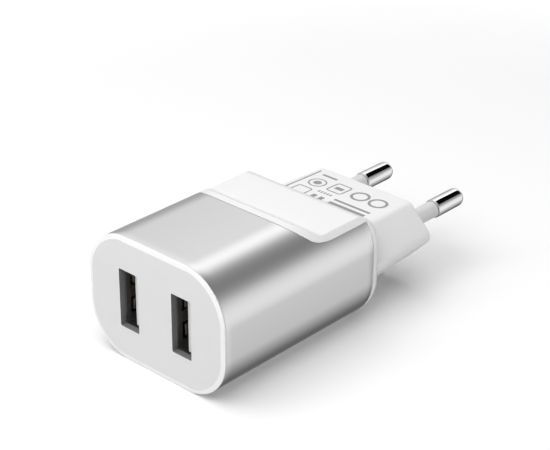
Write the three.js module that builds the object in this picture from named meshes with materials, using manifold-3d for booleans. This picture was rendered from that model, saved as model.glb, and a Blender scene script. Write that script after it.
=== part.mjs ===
// A two-port USB wall charger with a two-pin Europlug, in millimetres, +Z up.
// Every piece is drawn from the centre of the front face: X to the right, Y from the front face
// towards the pins, Z up. The outer group then moves that point, so that the origin is at the
// centre of the underside.
import * as THREE from 'three';
import { mergeVertices } from 'three/addons/utils/BufferGeometryUtils.js';
import Module from 'manifold-3d';

const wasm = await Module();
wasm.setup();

// Body: a rounded rectangle drawn out along Y
const BODY_WIDTH = 35.5;
const BODY_HEIGHT = 26.2;
const BODY_RADIUS = 10;
const BODY_LENGTH = 42.9;
const BODY_TOP = BODY_HEIGHT / 2;
const CORNER_STEPS = 10;
const SEAM = 0.1;

// Metal sleeve round the housing
const SLEEVE_WALL = 0.6;
const SLEEVE_FRONT = 0.5;
const RIM_LENGTH = 1.8;
const RIM_ROUNDING = 1.1;
const SLEEVE_REAR = BODY_LENGTH - RIM_LENGTH - SEAM;

// The sleeve's cut-out over the plug end, seen from the side
const CUT_FRONT = 22.85;
const CUT_SLOPE_END = [26.1, 10.3];
const CUT_BEND = [27.6, 9.1];
const CUT_FLAT_START = 32;
const CUT_FLAT_HEIGHT = 9.1;

// The housing's stepped top, seen from the side
const LIP_REAR = 24.7;
const STEP_HEIGHT = 10.3;
const STEP_FOOT = 28.7;
const STEP_FOOT_ROUNDING = 0.8;
const STEP_REAR = 39.2;

// Housing walls
const HOUSING_OFFSET = SLEEVE_WALL + SEAM;
const HOUSING_WALL = 1.5;
const HOUSING_FRONT = 1.7;
const CAVITY_REAR = 39.9;
const CAVITY_STEP_FRONT = 22.5;
const CAVITY_STEP_HEIGHT = STEP_HEIGHT - HOUSING_WALL;
const INNER_OFFSET = HOUSING_OFFSET + HOUSING_WALL;
const INNER_FLOOR = -BODY_TOP + INNER_OFFSET;

// Front cap
const CAP_BORDER = 1;
const CAP_BORDER_DEPTH = 0.25;
const CAP_FLANGE = 0.4;
const CAP_PLATE = 1.4;
const CAP_SPIGOT_REAR = 4;
const CAP_SPIGOT_WALL = 1.2;

// Plug base: a six-sided section that narrows towards the pins
const BASE_CENTRE = -0.93;
const BASE_REAR = 60;
const BASE_HALF_HEIGHT = 6.85;
const BASE_TOP_CORNER = 12.2;
const BASE_SIDE_CORNER = 18.4;
const BASE_TOP_ROUNDING = 0.9;
const BASE_SIDE_ROUNDING = 2.2;
const BASE_WIDTH_TAPER = 0.036;
const BASE_HEIGHT_TAPER = 0.095;
const BASE_CAVITY_HALF_HEIGHT = BASE_HALF_HEIGHT - 1.8;
const BASE_CAVITY_SIDE_CORNER = 15.5;
const BASE_CAVITY_TOP_CORNER = 10.6;
const BASE_CAVITY_REAR = 57.4;

// Pins
const PIN_PITCH = 19;
const PIN_LENGTH = 19;
const PIN_RADIUS = 2;
const PIN_CORE_RADIUS = 1.2;
const PIN_TAIL_RADIUS = 1.3;
const PIN_TAIL_FRONT = 52.5;
const PIN_COLLAR_RADIUS = 2.4;
const PIN_COLLAR = [56.4, 57.2];
const PIN_CONTACT_FOOT = 38.1;
const PIN_CONTACT_THICKNESS = 0.4;
const PIN_CONTACT_WIDTH = 3;
const PIN_METAL_FRONT = 70.2;
const PIN_TIP_LENGTH = 1.5;
const PIN_NOSE_RADIUS = 0.7;
const PIN_SLEEVE_RADIUS = 1.73;
const PIN_SLEEVE_BORE = 1.35;
const PIN_SLEEVE_FRONT = 57.6;
const PIN_HOLE_RADIUS = 1.88;
const LENGTH = BASE_REAR + PIN_LENGTH;

// USB ports, standing upright side by side
const PORT_PITCH = 13.8;
const PORT_OPENING = [4.95, 12.2];
const SHELL_INSIDE = [5.12, 12.5];
const SHELL_WALL = 0.3;
const SHELL_FRONT = 1.6;
const SHELL_REAR = 15.4;
const FINGER_HEIGHT = 2.95;
const FINGER_HALF_WIDTH = 1.15;
const SLIT_WIDTH = 0.6;
const SLIT_FRONT = 2.8;
const SLIT_REAR = 7.5;
const SHELL_LEG = { front: 9, rear: 11, bottom: -8.8 };
const TONGUE_SIDE = 0.2;
const TONGUE_THICKNESS = 1.84;
const TONGUE_HALF_HEIGHT = 5.4;
const TONGUE_FRONT = 1.3;
const TONGUE_CHAMFER = 0.35;
const BLOCK_FRONT = 11.5;
const BLOCK_REAR = 15.2;

// Contacts in the ports
const CONTACT_HEIGHTS = [-3.5, -1, 1, 3.5];
const CONTACT_WIDTH = 1;
const CONTACT_THICKNESS = 0.25;
const CONTACT_SIDE = 0.75;
const CONTACT_ROOT = 11.3;
const CONTACT_TIP = 3;
const GROOVE_HALF_WIDTH = 0.75;
const GROOVE_FLOOR = 1.35;
const GROOVE_FRONT = 2.2;
const TAIL_FRONT = 11.65;
const TAIL_FIRST = 15.9;
const TAIL_STEP = 1.3;
const TAIL_HALF_WIDTH = 0.3;

// Main circuit board
const BOARD_TOP = -6.75;
const BOARD_THICKNESS = 1.6;
const BOARD_BOTTOM = BOARD_TOP - BOARD_THICKNESS;
const BOARD_HALF_WIDTH = 13;
const BOARD_FRONT = 4.5;
const BOARD_REAR = 39.4;
const STANDOFF = 0.15;
const SEAT = BOARD_TOP + STANDOFF;
const CHIP_HEIGHT = 1.6;
const CHIP_BASE = BOARD_BOTTOM - STANDOFF - CHIP_HEIGHT;
const BARRIER_HALF_WIDTH = 12.8;
const BARRIER_DEPTH = [22.4, 22.75];
const BARRIER_TOP = 8.2;
const RIB_SIDE = 11.6;
const RIB_WIDTH = 1.2;

const X = new THREE.Vector3(1, 0, 0);
const Y = new THREE.Vector3(0, 1, 0);
const Z = new THREE.Vector3(0, 0, 1);
const FACING_Y = new THREE.Matrix4().makeBasis(X, Z, Y.clone().negate());
const FACING_X = new THREE.Matrix4().makeBasis(Y, Z, X);

const MATERIALS = {
  white_plastic: [0xf2f2f2, 0.35, 0],
  satin_aluminium: [0xc9c9ca, 0.3, 1],
  nickel_plate: [0xd8d8d8, 0.12, 1],
  sleeve_plastic: [0xc8c8c8, 0.45, 0],
  shell_steel: [0x8a8a8c, 0.35, 1],
  tongue_plastic: [0xe4e4e2, 0.5, 0],
  contact_bronze: [0xc9a35a, 0.3, 1],
  board_laminate: [0x2f5f3c, 0.6, 0],
  ferrite: [0x3a3a3c, 0.7, 0],
  bobbin_plastic: [0x1d1d1f, 0.5, 0],
  copper_winding: [0xa85a2a, 0.4, 1],
  yellow_tape: [0xd9b62f, 0.5, 0],
  capacitor_film: [0x22304a, 0.35, 0],
  disc_ceramic: [0x2f62a8, 0.5, 0],
  component_epoxy: [0x232325, 0.6, 0],
  resistor_coat: [0x7a9a6a, 0.6, 0],
  barrier_sheet: [0xe8e4d2, 0.6, 0],
};

function material(name) {
  const [color, roughness, metalness] = MATERIALS[name];
  return new THREE.MeshStandardMaterial({ name, color, roughness, metalness });
}

// Turns closed three.js geometry into a solid that can be joined and cut.
function solid(geometry) {
  const bare = geometry.clone();
  bare.deleteAttribute('normal');
  bare.deleteAttribute('uv');
  const merged = mergeVertices(bare, 1e-5);
  const vertProperties = merged.attributes.position.array;
  const triVerts = Uint32Array.from(merged.index.array);
  return new wasm.Manifold(new wasm.Mesh({ numProp: 3, vertProperties, triVerts }));
}

function piece(name, body, materialName) {
  const { vertProperties, triVerts } = body.getMesh();
  const geometry = new THREE.BufferGeometry();
  geometry.setAttribute('position', new THREE.BufferAttribute(vertProperties, 3));
  geometry.setIndex(new THREE.BufferAttribute(triVerts, 1));
  geometry.computeVertexNormals();
  const mesh = new THREE.Mesh(geometry, material(materialName));
  mesh.name = name;
  return mesh;
}

function block([x0, x1], [y0, y1], [z0, z1]) {
  const geometry = new THREE.BoxGeometry(x1 - x0, y1 - y0, z1 - z0);
  return solid(geometry.translate((x0 + x1) / 2, (y0 + y1) / 2, (z0 + z1) / 2));
}

function centred(half) {
  return [-half, half];
}

// An XZ outline drawn out from y0 to y1. steps adds cross sections for a later taper.
function alongY(shape, y0, y1, steps = 1) {
  const settings = { depth: y1 - y0, bevelEnabled: false, curveSegments: CORNER_STEPS, steps };
  const geometry = new THREE.ExtrudeGeometry(shape, settings).applyMatrix4(FACING_Y);
  return geometry.translate(0, y1, 0);
}

// A YZ outline drawn out across X.
function alongX(shape, x0, x1) {
  const settings = { depth: x1 - x0, bevelEnabled: false, curveSegments: CORNER_STEPS };
  const geometry = new THREE.ExtrudeGeometry(shape, settings).applyMatrix4(FACING_X);
  return solid(geometry.translate(x0, 0, 0));
}

// The body's outline, drawn in by an offset.
function bodyOutline(offset = 0) {
  const radius = BODY_RADIUS - offset;
  const x = BODY_WIDTH / 2 - BODY_RADIUS;
  const z = BODY_HEIGHT / 2 - BODY_RADIUS;
  const shape = new THREE.Shape();
  shape.absarc(x, z, radius, 0, Math.PI / 2);
  shape.absarc(-x, z, radius, Math.PI / 2, Math.PI);
  shape.absarc(-x, -z, radius, Math.PI, Math.PI * 1.5);
  shape.absarc(x, -z, radius, Math.PI * 1.5, Math.PI * 2);
  shape.closePath();
  return shape;
}

function bodyPrism(offset, y0, y1) {
  return solid(alongY(bodyOutline(offset), y0, y1));
}

// The body's outline with a rounded or chamfered edge at both ends.
function edgedPrism(y0, y1, inset, thickness, segments) {
  const geometry = new THREE.ExtrudeGeometry(bodyOutline(), {
    depth: y1 - y0 - 2 * thickness,
    curveSegments: CORNER_STEPS,
    bevelThickness: thickness,
    bevelSize: inset,
    bevelOffset: -inset,
    bevelSegments: segments,
  });
  return solid(geometry.applyMatrix4(FACING_Y).translate(0, y1 - thickness, 0));
}

// A closed outline with each corner rounded; a corner is [x, y, length cut from each side].
function roundedOutline(corners) {
  const shape = new THREE.Shape();
  corners.forEach(([x, y, cut], i) => {
    const corner = new THREE.Vector2(x, y);
    const before = new THREE.Vector2(...corners.at(i - 1).slice(0, 2)).sub(corner).setLength(cut);
    const after = new THREE.Vector2(...corners[(i + 1) % corners.length].slice(0, 2));
    after.sub(corner).setLength(cut);
    const start = corner.clone().add(before);
    const end = corner.clone().add(after);
    if (i === 0) shape.moveTo(start.x, start.y);
    else shape.lineTo(start.x, start.y);
    shape.quadraticCurveTo(corner.x, corner.y, end.x, end.y);
  });
  shape.closePath();
  return shape;
}

function hexagon(topCorner, sideCorner, halfHeight) {
  return roundedOutline([
    [sideCorner, 0, BASE_SIDE_ROUNDING],
    [topCorner, halfHeight, BASE_TOP_ROUNDING],
    [-topCorner, halfHeight, BASE_TOP_ROUNDING],
    [-sideCorner, 0, BASE_SIDE_ROUNDING],
    [-topCorner, -halfHeight, BASE_TOP_ROUNDING],
    [topCorner, -halfHeight, BASE_TOP_ROUNDING],
  ]);
}

// Draws a plug-base section out along Y and narrows it towards the pins.
function taperedBase(outline, y0, y1) {
  const geometry = alongY(outline, y0, y1, 2);
  const position = geometry.attributes.position;
  for (let i = 0; i < position.count; i += 1) {
    const along = (position.getY(i) - BODY_LENGTH) / (BASE_REAR - BODY_LENGTH);
    position.setX(i, position.getX(i) * (1 - BASE_WIDTH_TAPER * along));
    position.setZ(i, position.getZ(i) * (1 - BASE_HEIGHT_TAPER * along));
  }
  return solid(geometry.translate(0, 0, BASE_CENTRE));
}

// A turned solid; the profile lists [radius, height] from the low end of its axis to the high end.
function turned(profile, segments = 24) {
  const points = profile.map(([radius, height]) => new THREE.Vector2(radius, height));
  return new THREE.LatheGeometry(points, segments);
}

function turnedAlongY(profile, x, z) {
  return solid(turned(profile).translate(x, 0, z));
}

function turnedAlongZ(profile, x, y, z) {
  return solid(turned(profile, 20).rotateX(Math.PI / 2).translate(x, y, z));
}

// A bent strip of even thickness: its centre line is a curve in the XY plane, its width is along Z.
function strip(curve, thickness, width, height, steps = 12) {
  const left = [];
  const right = [];
  for (let i = 0; i <= steps; i += 1) {
    const point = curve.getPoint(i / steps);
    const tangent = curve.getTangent(i / steps);
    const side = new THREE.Vector2(-tangent.y, tangent.x).multiplyScalar(thickness / 2);
    left.push(point.clone().add(side));
    right.unshift(point.clone().sub(side));
  }
  const geometry = new THREE.ExtrudeGeometry(new THREE.Shape([...left, ...right]), {
    depth: width,
    bevelEnabled: false,
  });
  return solid(geometry.translate(0, 0, height - width / 2));
}

// Everything above the sleeve's cut line, moved back and up by a gap.
function aboveCut(gap) {
  const high = BODY_TOP + 5;
  const shape = new THREE.Shape();
  shape.moveTo(CUT_FRONT - 2 + gap, high);
  shape.lineTo(CUT_FRONT + gap, BODY_TOP + gap);
  shape.lineTo(CUT_SLOPE_END[0] + gap, CUT_SLOPE_END[1] + gap);
  const bend = [CUT_BEND[0] + gap, CUT_BEND[1] + gap];
  shape.quadraticCurveTo(...bend, CUT_FLAT_START, CUT_FLAT_HEIGHT + gap);
  shape.lineTo(BODY_LENGTH + 5, CUT_FLAT_HEIGHT + gap);
  shape.lineTo(BODY_LENGTH + 5, high);
  shape.closePath();
  return alongX(shape, -BODY_WIDTH, BODY_WIDTH);
}

// Everything above the housing's stepped top.
function aboveStep() {
  const high = BODY_TOP + 5;
  const rearDrop = BODY_LENGTH - STEP_REAR;
  const shape = new THREE.Shape();
  shape.moveTo(LIP_REAR, high);
  shape.lineTo(LIP_REAR, BODY_TOP);
  shape.lineTo(STEP_FOOT - STEP_FOOT_ROUNDING, STEP_HEIGHT + STEP_FOOT_ROUNDING * 0.7);
  shape.quadraticCurveTo(STEP_FOOT, STEP_HEIGHT, STEP_FOOT + STEP_FOOT_ROUNDING, STEP_HEIGHT);
  shape.lineTo(STEP_REAR, STEP_HEIGHT);
  shape.absarc(STEP_REAR, STEP_HEIGHT - rearDrop, rearDrop, Math.PI / 2, 0, true);
  shape.lineTo(BODY_LENGTH + 5, STEP_HEIGHT - rearDrop);
  shape.lineTo(BODY_LENGTH + 5, high);
  shape.closePath();
  return alongX(shape, -BODY_WIDTH, BODY_WIDTH);
}

function metalSleeve() {
  const tube = bodyPrism(0, SLEEVE_FRONT, SLEEVE_REAR);
  const bore = bodyPrism(SLEEVE_WALL, SLEEVE_FRONT - 1, SLEEVE_REAR + 1);
  return piece('metal_sleeve', tube.subtract(bore).subtract(aboveCut(0)), 'satin_aluminium');
}

function housingCavity() {
  const front = bodyPrism(INNER_OFFSET, HOUSING_FRONT - 1, CAVITY_STEP_FRONT);
  const rear = bodyPrism(INNER_OFFSET, CAVITY_STEP_FRONT - 1, CAVITY_REAR);
  const ceiling = block(centred(BODY_WIDTH), [0, BODY_LENGTH], [CAVITY_STEP_HEIGHT, BODY_HEIGHT]);
  const section = hexagon(BASE_CAVITY_TOP_CORNER, BASE_CAVITY_SIDE_CORNER, BASE_CAVITY_HALF_HEIGHT);
  const base = taperedBase(section, CAVITY_REAR - 1, BASE_CAVITY_REAR);
  return front.add(rear.subtract(ceiling)).add(base);
}

function rearHousing() {
  const envelope = edgedPrism(5, BODY_LENGTH, RIM_ROUNDING, RIM_ROUNDING, 3);
  const rimZone = [SLEEVE_REAR + SEAM, BODY_LENGTH + 1];
  const behindSleeve = block(centred(BODY_WIDTH), rimZone, centred(BODY_HEIGHT));
  const tube = bodyPrism(HOUSING_OFFSET, HOUSING_FRONT, SLEEVE_REAR + 2 * SEAM);
  const section = hexagon(BASE_TOP_CORNER, BASE_SIDE_CORNER, BASE_HALF_HEIGHT);
  let body = tube.add(envelope.intersect(aboveCut(SEAM))).add(envelope.intersect(behindSleeve));
  body = body.add(taperedBase(section, BODY_LENGTH - 0.4, BASE_REAR));
  body = body.subtract(aboveStep()).subtract(housingCavity());
  for (const side of [-1, 1]) {
    const hole = [[0, BASE_CAVITY_REAR - 1], [PIN_HOLE_RADIUS, BASE_CAVITY_REAR - 1],
      [PIN_HOLE_RADIUS, BASE_REAR + 1], [0, BASE_REAR + 1]];
    body = body.subtract(turnedAlongY(hole, side * PIN_PITCH / 2, BASE_CENTRE));
    const ribX = [side * RIB_SIDE - RIB_WIDTH / 2, side * RIB_SIDE + RIB_WIDTH / 2];
    const ribZ = [INNER_FLOOR, BOARD_BOTTOM - STANDOFF];
    body = body.add(block(ribX, [BOARD_FRONT + 2, CAVITY_REAR + 0.5], ribZ));
  }
  return piece('rear_housing', body, 'white_plastic');
}

function frontCap() {
  const edged = edgedPrism(0, BODY_LENGTH, CAP_BORDER, CAP_BORDER_DEPTH, 1);
  let body = edged.intersect(block(centred(BODY_WIDTH), [-1, CAP_FLANGE], centred(BODY_HEIGHT)));
  body = body.add(bodyPrism(HOUSING_OFFSET, CAP_FLANGE - SEAM, CAP_PLATE));
  const spigotOffset = INNER_OFFSET + SEAM;
  const spigot = bodyPrism(spigotOffset, CAP_PLATE - SEAM, CAP_SPIGOT_REAR);
  const spigotBore = bodyPrism(spigotOffset + CAP_SPIGOT_WALL, CAP_PLATE, CAP_SPIGOT_REAR + 1);
  body = body.add(spigot).subtract(spigotBore);
  const [width, height] = PORT_OPENING;
  for (const side of [-1, 1]) {
    const centre = side * PORT_PITCH / 2;
    const across = [centre - width / 2, centre + width / 2];
    body = body.subtract(block(across, [-1, CAP_PLATE + 1], centred(height / 2)));
  }
  return piece('front_cap', body, 'white_plastic');
}

// A plug pin: a thin shank inside the insulating sleeve, and a bare rounded end.
function plugPin(side, name) {
  const rear = LENGTH;
  const shoulder = rear - PIN_TIP_LENGTH;
  const profile = [
    [0, PIN_TAIL_FRONT],
    [PIN_TAIL_RADIUS, PIN_TAIL_FRONT],
    [PIN_TAIL_RADIUS, PIN_COLLAR[0]],
    [PIN_COLLAR_RADIUS, PIN_COLLAR[0]],
    [PIN_COLLAR_RADIUS, PIN_COLLAR[1]],
    [PIN_CORE_RADIUS, PIN_COLLAR[1]],
    [PIN_CORE_RADIUS, PIN_METAL_FRONT],
    [PIN_RADIUS - 0.15, PIN_METAL_FRONT],
    [PIN_RADIUS, PIN_METAL_FRONT + 0.15],
  ];
  const steps = 5;
  for (let i = 0; i <= steps; i += 1) {
    const angle = (i / steps) * (Math.PI / 2);
    const radius = PIN_NOSE_RADIUS + (PIN_RADIUS - PIN_NOSE_RADIUS) * Math.cos(angle);
    profile.push([radius, shoulder + PIN_TIP_LENGTH * Math.sin(angle)]);
  }
  profile.push([0, rear]);
  return piece(name, turnedAlongY(profile, side * PIN_PITCH / 2, BASE_CENTRE), 'nickel_plate');
}

function pinSleeve(side, name) {
  const rear = PIN_METAL_FRONT - SEAM;
  const profile = [
    [PIN_SLEEVE_BORE, PIN_SLEEVE_FRONT],
    [PIN_SLEEVE_RADIUS, PIN_SLEEVE_FRONT],
    [PIN_SLEEVE_RADIUS, rear],
    [PIN_SLEEVE_BORE, rear],
    [PIN_SLEEVE_BORE, PIN_SLEEVE_FRONT],
  ];
  return piece(name, turnedAlongY(profile, side * PIN_PITCH / 2, BASE_CENTRE), 'sleeve_plastic');
}

// A spring blade from the board's rear edge to the top of a pin's tail.
function pinContact(side, name) {
  const foot = PIN_CONTACT_FOOT;
  const thickness = PIN_CONTACT_THICKNESS;
  const arm = BASE_CENTRE + PIN_TAIL_RADIUS + 0.13;
  const shape = roundedOutline([
    [foot, SEAT, 0.05],
    [foot + thickness, SEAT, 0.05],
    [foot + thickness, arm, 0.3],
    [PIN_COLLAR[0] - 1, arm, 0.05],
    [PIN_COLLAR[0] - 1, arm + thickness, 0.05],
    [foot, arm + thickness, 0.6],
  ]);
  const centre = side * PIN_PITCH / 2;
  const half = PIN_CONTACT_WIDTH / 2;
  return piece(name, alongX(shape, centre - half, centre + half), 'contact_bronze');
}

// The steel shell round one port: a rectangular tube with two spring fingers in each wide wall.
function portShell(name) {
  const [width, height] = SHELL_INSIDE;
  const outerX = width / 2 + SHELL_WALL;
  const outerZ = height / 2 + SHELL_WALL;
  const bore = block(centred(width / 2), [0, SHELL_REAR + 1], centred(height / 2));
  let body = block(centred(outerX), [SHELL_FRONT, SHELL_REAR], centred(outerZ)).subtract(bore);
  for (const wall of [-1, 1]) {
    const sides = [wall * width / 2, wall * outerX].sort((a, b) => a - b);
    for (const centre of [-FINGER_HEIGHT, FINGER_HEIGHT]) {
      const slitHalf = FINGER_HALF_WIDTH + SLIT_WIDTH;
      const through = [sides[0] - 1, sides[1] + 1];
      body = body.subtract(block(through, [SLIT_FRONT, SLIT_REAR], [centre - slitHalf, centre + slitHalf]));
      const finger = [centre - FINGER_HALF_WIDTH, centre + FINGER_HALF_WIDTH];
      body = body.add(block(sides, [SLIT_FRONT + SLIT_WIDTH, SLIT_REAR + 0.5], finger));
    }
    body = body.add(block(sides, [SHELL_LEG.front, SHELL_LEG.rear], [SHELL_LEG.bottom, -height / 2]));
  }
  return piece(name, body, 'shell_steel');
}

// The moulded tongue that carries the contacts, and the block behind it.
function portTongue(name) {
  const back = TONGUE_SIDE + TONGUE_THICKNESS;
  const outline = new THREE.Shape();
  outline.moveTo(TONGUE_SIDE, BLOCK_FRONT + 0.5);
  outline.lineTo(TONGUE_SIDE, TONGUE_FRONT + TONGUE_CHAMFER);
  outline.lineTo(TONGUE_SIDE + TONGUE_CHAMFER, TONGUE_FRONT);
  outline.lineTo(back - TONGUE_CHAMFER, TONGUE_FRONT);
  outline.lineTo(back, TONGUE_FRONT + TONGUE_CHAMFER);
  outline.lineTo(back, BLOCK_FRONT + 0.5);
  outline.closePath();
  const tongue = new THREE.ExtrudeGeometry(outline, { depth: TONGUE_HALF_HEIGHT * 2, bevelEnabled: false });
  const [width, height] = SHELL_INSIDE;
  let body = solid(tongue.translate(0, 0, -TONGUE_HALF_HEIGHT));
  body = body.add(block(centred(width / 2 - SEAM), [BLOCK_FRONT, BLOCK_REAR], centred(height / 2 - SEAM)));
  for (const centre of CONTACT_HEIGHTS) {
    const groove = [centre - GROOVE_HALF_WIDTH, centre + GROOVE_HALF_WIDTH];
    body = body.subtract(block([-1, GROOVE_FLOOR], [GROOVE_FRONT, BLOCK_FRONT], groove));
    body = body.subtract(block([0.25, GROOVE_FLOOR], [BLOCK_FRONT - 1, BLOCK_REAR + 1], groove));
  }
  return piece(name, body, 'tongue_plastic');
}

// The springy front of a contact: a bowed strip, rooted at the block, that a plug pushes into its groove.
function contactSpring(name, height) {
  const centreLine = new THREE.SplineCurve([
    new THREE.Vector2(CONTACT_SIDE, CONTACT_ROOT),
    new THREE.Vector2(0.6, 9.2),
    new THREE.Vector2(-0.05, 6.4),
    new THREE.Vector2(-0.2, 5),
    new THREE.Vector2(0.45, CONTACT_TIP),
  ]);
  return piece(name, strip(centreLine, CONTACT_THICKNESS, CONTACT_WIDTH, height), 'contact_bronze');
}

// The fixed rear of a contact: through the block, then down to the board.
function contactTail(name, height, leg) {
  const half = CONTACT_WIDTH / 2;
  const shape = new THREE.Shape();
  shape.moveTo(TAIL_FRONT, height - half);
  shape.lineTo(leg - TAIL_HALF_WIDTH, height - half);
  shape.lineTo(leg - TAIL_HALF_WIDTH, SEAT);
  shape.lineTo(leg + TAIL_HALF_WIDTH, SEAT);
  shape.lineTo(leg + TAIL_HALF_WIDTH, height + half);
  shape.lineTo(TAIL_FRONT, height + half);
  shape.closePath();
  const side = CONTACT_SIDE - CONTACT_THICKNESS / 2;
  return piece(name, alongX(shape, side, side + CONTACT_THICKNESS), 'contact_bronze');
}

function usbPort(side, name) {
  const port = new THREE.Group();
  port.position.set(side * PORT_PITCH / 2, 0, 0);
  port.add(portShell(`${name}_port_shell`), portTongue(`${name}_port_tongue`));
  CONTACT_HEIGHTS.forEach((height, i) => {
    const number = i + 1;
    port.add(contactSpring(`${name}_contact_spring_${number}`, height));
    port.add(contactTail(`${name}_contact_tail_${number}`, height, TAIL_FIRST + TAIL_STEP * i));
  });
  return port;
}

function mainBoard() {
  let body = block(centred(BOARD_HALF_WIDTH), [BOARD_FRONT, BOARD_REAR], [BOARD_BOTTOM, BOARD_TOP]);
  const wall = SHELL_INSIDE[0] / 2 + SHELL_WALL / 2;
  const clearance = 0.3;
  for (const side of [-1, 1]) {
    for (const edge of [-1, 1]) {
      const centre = side * PORT_PITCH / 2 + edge * wall;
      const half = SHELL_WALL / 2 + clearance;
      const along = [SHELL_LEG.front - clearance, SHELL_LEG.rear + clearance];
      body = body.subtract(block([centre - half, centre + half], along, [BOARD_BOTTOM - 1, BOARD_TOP + 1]));
    }
  }
  return piece('main_board', body, 'board_laminate');
}

const TRANSFORMER = {
  x: -6.2,
  front: 23.1,
  halfWidth: 6.6,
  halfLength: 6.2,
  halfThickness: 3,
  bar: 2.2,
  leg: 2.2,
  centreLeg: 1.8,
  coreGap: 0.2,
  flanges: [[25.5, 26.2], [32.6, 33.3]],
  footBottomToTop: [SEAT, -5],
};

// Half widths and half heights of the rings round the middle leg, from the leg outwards
const BOBBIN_BORE = [2, 3.2];
const BOBBIN_TUBE = [2.5, 3.7];
const BOBBIN_FLANGE = [4.2, 5.8];
const WINDING_INSIDE = [2.65, 3.85];
const WINDING_OUTSIDE = [3.75, 5];
const TAPE_INSIDE = [3.9, 5.15];
const TAPE_OUTSIDE = [4.15, 5.4];
const WINDING_CLEARANCE = 0.2;

// One E-shaped half of the core; facing is 1 when its legs point towards the pins.
function coreHalf(name, facing) {
  const t = TRANSFORMER;
  const outer = facing > 0 ? t.front : t.front + 2 * t.halfLength + t.coreGap;
  const along = (a, b) => [outer + facing * a, outer + facing * b].sort((p, q) => p - q);
  const height = centred(t.halfThickness);
  let body = block([t.x - t.halfWidth, t.x + t.halfWidth], along(0, t.bar), height);
  const legs = [
    [t.x - t.halfWidth, t.x - t.halfWidth + t.leg],
    [t.x - t.centreLeg, t.x + t.centreLeg],
    [t.x + t.halfWidth - t.leg, t.x + t.halfWidth],
  ];
  for (const leg of legs) body = body.add(block(leg, along(t.bar / 2, t.halfLength), height));
  return piece(name, body, 'ferrite');
}

// A rectangular ring round the core's middle leg.
function legRing(inner, outer, along) {
  const x = TRANSFORMER.x;
  const ring = block([x - outer[0], x + outer[0]], along, centred(outer[1]));
  return ring.subtract(block([x - inner[0], x + inner[0]], [along[0] - 1, along[1] + 1], centred(inner[1])));
}

function transformer() {
  const { x, flanges, footBottomToTop } = TRANSFORMER;
  const between = [flanges[0][1] + WINDING_CLEARANCE, flanges[1][0] - WINDING_CLEARANCE];
  let bobbin = legRing(BOBBIN_BORE, BOBBIN_TUBE, [flanges[0][0], flanges[1][1]]);
  for (const along of flanges) {
    bobbin = bobbin.add(legRing(BOBBIN_BORE, BOBBIN_FLANGE, along));
    bobbin = bobbin.add(block([x - BOBBIN_FLANGE[0], x + BOBBIN_FLANGE[0]], along, footBottomToTop));
  }
  const group = new THREE.Group();
  group.add(
    coreHalf('transformer_core_front', 1),
    coreHalf('transformer_core_rear', -1),
    piece('transformer_bobbin', bobbin, 'bobbin_plastic'),
    piece('transformer_winding', legRing(WINDING_INSIDE, WINDING_OUTSIDE, between), 'copper_winding'),
    piece('transformer_tape', legRing(TAPE_INSIDE, TAPE_OUTSIDE, between), 'yellow_tape'),
  );
  return group;
}

// An upright can capacitor with a crimped foot and rounded ends.
function canCapacitor(name, radius, height, x, y) {
  const edge = 0.5;
  const profile = [
    [0, 0],
    [radius - edge, 0],
    [radius, edge],
    [radius, 1],
    [radius - 0.35, 1.5],
    [radius, 2],
    [radius, height - edge],
    [radius - edge, height],
    [0, height],
  ];
  const body = turnedAlongZ(profile, x, y, SEAT);
  return piece(name, body, 'capacitor_film');
}

// An upright axial part with swollen end caps.
function uprightAxial(name, radius, length, x, y) {
  const profile = [
    [0, 0],
    [0.3, 0],
    [0.3, 1],
    [radius, 1.2],
    [radius, 2.2],
    [radius - 0.3, 2.6],
    [radius - 0.3, length - 1.2],
    [radius, length - 0.8],
    [radius, length],
    [0, length + 0.2],
  ];
  return piece(name, turnedAlongZ(profile, x, y, SEAT), 'resistor_coat');
}

// A flat-backed moulded package standing on, or hanging under, the board.
function boardPackage(name, x, y, zLow, size) {
  const [width, depth, height] = size;
  const body = block([x - width / 2, x + width / 2], [y - depth / 2, y + depth / 2], [zLow, zLow + height]);
  const notch = [[0, -0.3], [0.5, -0.3], [0.5, 0.3], [0, 0.3]];
  const marked = body.subtract(turnedAlongZ(notch, x - width / 2 + 1, y - depth / 2 + 1, zLow + height));
  return piece(name, marked, 'component_epoxy');
}

// A dipped ceramic disc standing on its edge, its axis along X.
function discCapacitor(name, radius, thickness, x, y) {
  const half = thickness / 2;
  const edge = 0.6;
  const profile = [
    [0, -half],
    [radius - edge, -half],
    [radius, -half + edge],
    [radius, half - edge],
    [radius - edge, half],
    [0, half],
  ];
  const geometry = turned(profile).rotateZ(-Math.PI / 2).translate(x, y, SEAT + radius + edge / 2);
  return piece(name, solid(geometry), 'disc_ceramic');
}

// The insulating sheet that stands between the mains side and the port side of the board.
function insulationBarrier() {
  const sheet = block(centred(BARRIER_HALF_WIDTH), BARRIER_DEPTH, [SEAT, BARRIER_TOP]);
  return piece('insulation_barrier', sheet, 'barrier_sheet');
}

// Each call gives a part's sizes and then its place on the board.
function boardParts() {
  const group = new THREE.Group();
  group.add(
    canCapacitor('input_capacitor_large', 4, 12.5, 8.5, 27),
    canCapacitor('input_capacitor_small', 3.15, 11, 9.4, 34.7),
    canCapacitor('output_capacitor', 3.15, 11, 2.2, 19),
    uprightAxial('fuse_resistor', 1.4, 7.5, 2.4, 37.5),
    uprightAxial('filter_inductor', 2.1, 8.5, 3, 33),
    discCapacitor('y_capacitor', 3.3, 2.6, 2.6, 26.9),
    boardPackage('output_diode', -10, 19.6, SEAT, [5, 5.4, 2.3]),
    boardPackage('bridge_rectifier', -3.2, 37.5, SEAT, [7.4, 2.4, 8]),
    boardPackage('controller_chip', 2, 30, CHIP_BASE, [5, 4, CHIP_HEIGHT]),
    boardPackage('port_chip', 0, 12, CHIP_BASE, [5, 4, CHIP_HEIGHT]),
    insulationBarrier(),
  );
  return group;
}

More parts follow.
